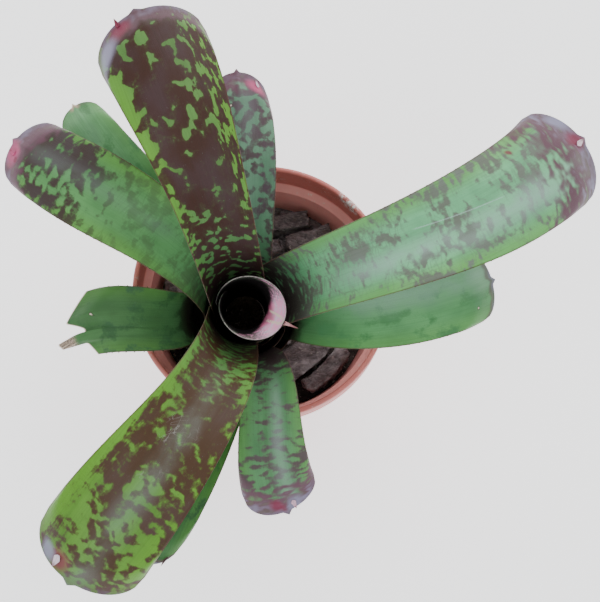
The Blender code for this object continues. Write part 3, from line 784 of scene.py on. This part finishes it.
def point_skin(name, tint):
    """Dried papery skin, browner towards the tip, with fine lengthwise fibres."""
    paint = Paint(name)
    along, aside = paint.value("along"), paint.value("aside")
    fibres = paint.noise(paint.vector(aside * 6, along * 1.5), 1.0, 3)
    colour = paint.mix(fibres.rise(0.35, 0.7) * 0.4, tint, tuple(channel * 0.4 for channel in tint))
    colour = paint.mix(along.rise(0.5, 0.9) * 0.7, colour, POINT_TIP)
    relief = paint.bump(fibres, 0.1 * MM)
    gloss = 0.45 + fibres * 0.2
    return paint.finish(Base_Color=colour, Roughness=gloss, Normal=relief, Specular_IOR_Level=0.3)


for owner, across_place, back, length, width, curl, tint in POINTS:
    point_name = owner + "_point"
    scale = point_mesh(point_name, LEAVES[owner], across_place, back, length, width, curl)
    add_piece(point_name, scale, point_skin(point_name + "_skin", tint), "leaf")


# Pot
# A tapered pot of terracotta-red moulded plastic with a stepped collar, turned at a fine pitch
# from the CAD solid's profile. The surface is satin, scuffed, with lime crust near the rim.
POT_HEIGHT = 115 * MM
RIM_RADIUS = 65 * MM
LIP_WIDTH = 2.6 * MM
COLLAR_HEIGHT = 21 * MM
LEDGE = POT_HEIGHT - COLLAR_HEIGHT
COLLAR_STEP = 4.8 * MM
FOOT_RADIUS = 45 * MM
WALL = 1.8 * MM
FLOOR = 2.4 * MM
FLOOR_RAISE = 2.0 * MM
HUB_RADIUS = 14 * MM
RING_INNER_RADIUS = 38 * MM
DRAIN_HOLES = 8
DRAIN_RADIUS = 4.2 * MM
DRAIN_PITCH_RADIUS = 26 * MM
POT_STEPS = 192
POT_TONES = (0.580, 0.155, 0.132), (0.680, 0.205, 0.178)
POT_GRIME = (0.300, 0.095, 0.080)
# Painted light: a paler copy of the plastic for the lit inside wall and ledge.
POT_INSIDE_PAINTED_LIGHT = (0.950, 0.370, 0.350)
POT_DUST = (0.800, 0.620, 0.580)
POT_LIME = (0.750, 0.660, 0.600)


def wall_radius(height):
    """Outer radius of the pot's tapered body."""
    return FOOT_RADIUS + (RIM_RADIUS - COLLAR_STEP - FOOT_RADIUS) * height / LEDGE


def mesh_of(shape, name):
    """The finished mesh of a loose shape."""
    mesh = bpy.data.meshes.new(name)
    shape.to_mesh(mesh)
    shape.free()
    return mesh


def pot_profile():
    """Radius and height of the turned section, from the inside of the floor to the foot."""
    floor_top = FLOOR_RAISE + FLOOR
    lip = LIP_WIDTH / 2
    bead = []
    for turn in range(0, 181, 15):
        angle = math.radians(turn)
        bead.append((RIM_RADIUS - lip - lip * math.cos(angle), POT_HEIGHT - lip + lip * math.sin(angle)))
    return [
        (0, floor_top),
        (wall_radius(floor_top) - WALL, floor_top),
        (wall_radius(LEDGE) - WALL, LEDGE),
        (RIM_RADIUS - LIP_WIDTH - 0.5 * MM, LEDGE + 1.3 * MM),
        (RIM_RADIUS - LIP_WIDTH, LEDGE + 1.9 * MM),
        *bead,
        (RIM_RADIUS - 0.5 * MM, LEDGE + 1.0 * MM),
        (RIM_RADIUS - 0.9 * MM, LEDGE + 0.3 * MM),
        (RIM_RADIUS - 1.5 * MM, LEDGE),
        (wall_radius(LEDGE), LEDGE),
        (wall_radius(0) + 0.4 * MM, 1.2 * MM),
        (FOOT_RADIUS, 0.2 * MM),
        (FOOT_RADIUS - 0.4 * MM, 0),
        (RING_INNER_RADIUS, 0),
        (RING_INNER_RADIUS - 2 * MM, FLOOR_RAISE),
        (HUB_RADIUS + 2 * MM, FLOOR_RAISE),
        (HUB_RADIUS, 0),
        (0, 0),
    ]


def pot_mesh():
    """The section turned once round, with the drain holes cut through the floor."""
    profile = pot_profile()
    mesh = bpy.data.meshes.new("pot")
    edges = [(start, start + 1) for start in range(len(profile) - 1)]
    mesh.from_pydata([(radius, 0, height) for radius, height in profile], edges, [])
    body = bpy.data.objects.new("pot_turning", mesh)
    bpy.context.scene.collection.objects.link(body)
    spin = body.modifiers.new("Spin", "SCREW")
    spin.steps = spin.render_steps = POT_STEPS
    spin.use_merge_vertices = True
    spin.merge_threshold = 0.01 * MM
    shape = bmesh.new()
    for hole in range(DRAIN_HOLES):
        turn = Matrix.Rotation(2 * math.pi * (hole + 0.5) / DRAIN_HOLES, 4, "Z")
        bmesh.ops.create_cone(
            shape, cap_ends=True, segments=32, radius1=DRAIN_RADIUS, radius2=DRAIN_RADIUS, depth=20 * MM,
            matrix=turn @ Matrix.Translation((DRAIN_PITCH_RADIUS, 0, FLOOR_RAISE)),
        )
    holes = bpy.data.objects.new("drain_holes", mesh_of(shape, "drain_holes"))
    bpy.context.scene.collection.objects.link(holes)
    cut = body.modifiers.new("Drain holes", "BOOLEAN")
    cut.object = holes
    graph = bpy.context.evaluated_depsgraph_get()
    made = bpy.data.meshes.new_from_object(body.evaluated_get(graph))
    bpy.data.objects.remove(body)
    bpy.data.objects.remove(holes)
    made.shade_smooth()
    made.set_sharp_from_angle(angle=math.radians(35))
    return made


# Lime crust on the rim at the back right, a nick on the ledge drawn as a solid dark spot of painted shade,
# and dirt beside it, each as (place, radius, how solid, colour) in metres.
POT_MARKS = [
    ((0.044, 0.046, 0.113), 0.008, 0.0, (0.80, 0.74, 0.72)),
    ((0.0265, 0.0500, 0.095), 0.0016, 1.0, (0.05, 0.02, 0.018)),
    ((0.050, 0.036, 0.096), 0.004, 0.0, (0.20, 0.08, 0.07)),
]


def pot_plastic():
    """Satin red plastic, made paler by painted light inside the collar, with grime, dust and lime crust on
    it.
    """
    paint = Paint("pot_plastic")
    where = paint.place()
    cloud = paint.noise(where, 30, 4)
    grime = paint.noise(where, 90, 5, 0.7)
    crust = paint.noise(where, 420, 4, 0.7)
    height = paint.node("SeparateXYZ", {}, {0: where}, 2)
    colour = paint.mix(cloud.rise(0.3, 0.7), *POT_TONES)
    colour = paint.mix(grime.rise(0.52, 0.72) * 0.45, colour, POT_GRIME)

    # The inside is told from the outside by how far out a point lies, less the wall's taper
    radius = paint.node("VectorMath", {"operation": "LENGTH"}, {0: paint.place((1, 1, 0))}, 1)
    taper = (wall_radius(1) - wall_radius(0)) * height
    inside = (radius - taper).rise(FOOT_RADIUS - WALL * 0.3, FOOT_RADIUS - WALL * 0.7)
    over_ledge = height.rise(LEDGE - 0.5 * MM, LEDGE + 0.2 * MM)
    in_collar = radius.rise(RIM_RADIUS - 0.5 * MM, RIM_RADIUS - 1.5 * MM) * over_ledge
    inside = inside.math("MAXIMUM", in_collar)
    below_step = height.rise(50 * MM, 80 * MM) * height.rise(LEDGE + 3.5 * MM, LEDGE + 2 * MM)
    # Painted light: the inner wall and ledge above the mix are painted paler.
    colour = paint.mix(below_step * inside * 0.85, colour, POT_INSIDE_PAINTED_LIGHT)

    for mark_place, mark_radius, solid, tint in POT_MARKS:
        away = paint.node("VectorMath", {"operation": "DISTANCE"}, {0: where, 1: mark_place}, 1)
        spread = (away + (grime - 0.5) * mark_radius).rise(mark_radius, mark_radius * 0.5)
        colour = paint.mix(spread * (crust.rise(0.42, 0.55) * (1 - solid) + solid), colour, tint)
    dust = crust.rise(0.61, 0.66) * grime.rise(0.45, 0.6) * height.rise(60 * MM, 90 * MM)
    colour = paint.mix(dust * 0.6, colour, POT_DUST)
    lime = crust.rise(0.56, 0.68) * grime.rise(0.45, 0.6) * height.rise(85 * MM, 112 * MM)
    colour = paint.mix(lime * 0.55, colour, POT_LIME)
    relief = paint.bump(crust * 0.6 + grime, 0.3 * MM)
    gloss = 0.42 + lime * 0.35 + grime * 0.12
    return paint.finish(Base_Color=colour, Roughness=gloss, Normal=relief, Specular_IOR_Level=0.45)


add_piece("pot_shell", pot_mesh(), pot_plastic(), "pot", "pot")


# Growing mix and bark
# Coarse bark mix: a dark crumbly bed with thin flakes lying on it, and the large chips of the
# CAD model. Chips are split from bark, so they are layered and grained along their length.
MIX_TOP = 76 * MM
FIT_GAP = 0.4 * MM
MIX_RADIUS = wall_radius(MIX_TOP) - WALL - FIT_GAP
BED_RINGS = 70
BED_SIDES = 220
BED_DROP = 0.7 * MM
BED_RELIEF = 1.1 * MM
CRUMBS = 260
CHIPS = 13
MIX_TONES = (0.050, 0.038, 0.036), (0.090, 0.068, 0.062)
CHIP_TONES = (0.240, 0.176, 0.186), (0.380, 0.300, 0.315)
BARK_HOLLOW = (0.120, 0.070, 0.052)
BARK_FLECK = (0.420, 0.340, 0.320)
BARK_CRUMB = (0.220, 0.150, 0.120)
# Painted light: the paler tone for the far side.
BARK_PAINTED_LIGHT = (0.500, 0.400, 0.420)


def mix_mesh():
    """The filled pot's mix: a fine rough top that runs down the wall to a flat underside."""
    low = FLOOR_RAISE + FLOOR + FIT_GAP
    foot = wall_radius(low) - WALL - FIT_GAP
    turns = [2 * math.pi * side / BED_SIDES for side in range(BED_SIDES)]
    shape = bmesh.new()
    rings = []
    for step in range(1, BED_RINGS + 1):
        radius = MIX_RADIUS * step / BED_RINGS
        ring = []
        for turn in turns:
            x, y = radius * math.cos(turn), radius * math.sin(turn)
            drop = BED_DROP + noise.fractal(Vector((x, y, 0)) * 150, 0.9, 2.1, 4) * BED_RELIEF
            ring.append(shape.verts.new((x, y, MIX_TOP - max(drop, 0.1 * MM))))
        rings.append(ring)
    rings.append([shape.verts.new((foot * math.cos(turn), foot * math.sin(turn), low)) for turn in turns])
    for inner, outer in zip(rings, rings[1:]):
        for side in range(BED_SIDES):
            ahead = (side + 1) % BED_SIDES
            shape.faces.new((inner[side], outer[side], outer[ahead], inner[ahead]))
    shape.faces.new(rings[-1][::-1])
    shape.faces.new(rings[0])
    mesh = mesh_of(shape, "growing_mix")
    mesh.shade_smooth()
    return mesh


def crumb_mesh():
    """Small flakes and crumbs of bark strewn on the bed between the chips."""
    draw = random.Random(5)
    shape = bmesh.new()
    for _ in range(CRUMBS):
        heading, away = draw.uniform(0, 2 * math.pi), MIX_RADIUS * math.sqrt(draw.uniform(0.05, 0.90))
        length = draw.uniform(1.2, 4.5) * MM
        size = Matrix.Diagonal((length, length * draw.uniform(0.4, 0.8), length * 0.35, 1))
        tilt = Matrix.Rotation(draw.uniform(-0.4, 0.4), 4, "X")
        turn = tilt @ Matrix.Rotation(draw.uniform(0, 3.1), 4, "Z")
        where = Matrix.Translation((away * math.cos(heading), away * math.sin(heading), MIX_TOP - 0.2 * MM))
        crumb = bmesh.ops.create_icosphere(shape, subdivisions=1, radius=0.6, matrix=where @ turn @ size)
        for vertex in crumb["verts"]:
            vertex.co += Vector([draw.uniform(-0.08, 0.08) * length for _ in range(3)])
    return mesh_of(shape, "bark_crumbs")


def bark_skin(name, tone, bright):
    """Fibrous bark grained along its length, with pits, flecks, crumbs and painted light on its far side."""
    paint = Paint(name)
    where = paint.place()
    grain = paint.noise(paint.place((190, 420, 420)), 1.0, 6, 0.7, 1.4)
    cloud = paint.noise(where, 70, 5, 0.65)
    crumbs = paint.noise(where, 900, 3, 0.7)
    flecks = paint.noise(where, 420, 2, 0.6)
    colour = paint.mix(grain.rise(0.35, 0.68), tuple(channel * 0.35 for channel in tone), tone)
    colour = paint.mix(cloud.rise(0.45, 0.65) * 0.7, colour, bright)
    colour = paint.mix(cloud.rise(0.45, 0.30) * 0.5, colour, BARK_HOLLOW)
    colour = paint.mix(flecks.rise(0.64, 0.70) * 0.5, colour, BARK_FLECK)
    colour = paint.mix(crumbs.rise(0.6, 0.72) * 0.35, colour, BARK_CRUMB)
    # Painted light: paler towards +y, the far side.
    far_side_light = paint.node("SeparateXYZ", {}, {0: where}, 1).rise(5 * MM, 35 * MM)
    colour = paint.mix(far_side_light * grain.rise(0.3, 0.6) * 0.45, colour, BARK_PAINTED_LIGHT)
    relief = paint.bump(grain + crumbs * 0.3, 1.2 * MM)
    gloss = 0.82 + grain * 0.15
    return paint.finish(Base_Color=colour, Roughness=gloss, Normal=relief, Specular_IOR_Level=0.3)


def chip_mesh(node):
    """A CAD chip cut finer, with its faces ridged along the grain and its edges chipped."""
    shape = bmesh.new()
    shape.from_mesh(node.data)
    bmesh.ops.remove_doubles(shape, verts=shape.verts, dist=0.01 * MM)
    for _ in range(3):
        long_edges = [edge for edge in shape.edges if edge.calc_length() > 1.0 * MM]
        bmesh.ops.subdivide_edges(shape, edges=long_edges, cuts=1)
        bmesh.ops.triangulate(shape, faces=shape.faces)
    shape.normal_update()
    centre = sum((vertex.co for vertex in shape.verts), Vector()) / len(shape.verts)
    for vertex in shape.verts:
        grain = noise.fractal(Vector((vertex.co.x * 150, vertex.co.y * 330, vertex.co.z * 330)), 0.8, 2.1, 4)
        lump = noise.noise(vertex.co * 120)
        rough = (grain * 1.4 + lump * 1.2 - 0.35) * MM
        vertex.co += vertex.normal * max(min(rough, 0.3 * MM), -1.6 * MM)
    for vertex in shape.verts:
        vertex.co -= centre
    mesh = mesh_of(shape, node.name)
    mesh.shade_smooth()
    mesh.set_sharp_from_angle(angle=math.radians(40))
    return mesh, centre


add_piece("mix_bed", mix_mesh(), bark_skin("mix_crumbs", *MIX_TONES), "growing_mix", "growing_mix")
chip_bark = bark_skin("chip_bark", *CHIP_TONES)
add_piece("bark_crumbs", crumb_mesh(), chip_bark, "bark")
for number in range(1, CHIPS + 1):
    chip_name = f"bark_chip_{number:02d}"
    chip, centre = chip_mesh(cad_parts[chip_name])
    add_piece(chip_name + "_flake", chip, chip_bark, "bark", chip_name, where=centre)


# Stem
# The short woody stem, hidden inside the sheaths that grow from it. It keeps its CAD shape and
# gets a dull fibrous skin.
STEM_TONES = (0.110, 0.075, 0.045), (0.180, 0.130, 0.080)
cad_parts["stem"].data.materials.clear()
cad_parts["stem"].data.materials.append(bark_skin("stem_wood", *STEM_TONES))


# Floor
# A plain matt floor of pale card, laid flat under the pot. It belongs to the picture and not to
# the part.
FLOOR_TONES = (0.880, 0.880, 0.880), (0.910, 0.910, 0.910)
floor_mesh = bpy.data.meshes.new("floor")
floor_mesh.from_pydata([(-6, -6, 0), (6, -6, 0), (6, 6, 0), (-6, 6, 0)], [], [(0, 1, 2, 3)])
floor = bpy.data.objects.new("floor", floor_mesh)
bpy.context.scene.collection.objects.link(floor)
floor_paint = Paint("pale_floor")
floor_colour = floor_paint.mix(floor_paint.noise(floor_paint.place(), 3, 3), *FLOOR_TONES)
floor_mesh.materials.append(
    floor_paint.finish(
        Base_Color=floor_colour, Roughness=0.9, Emission_Color=floor_colour, Emission_Strength=1.2,
    )
)
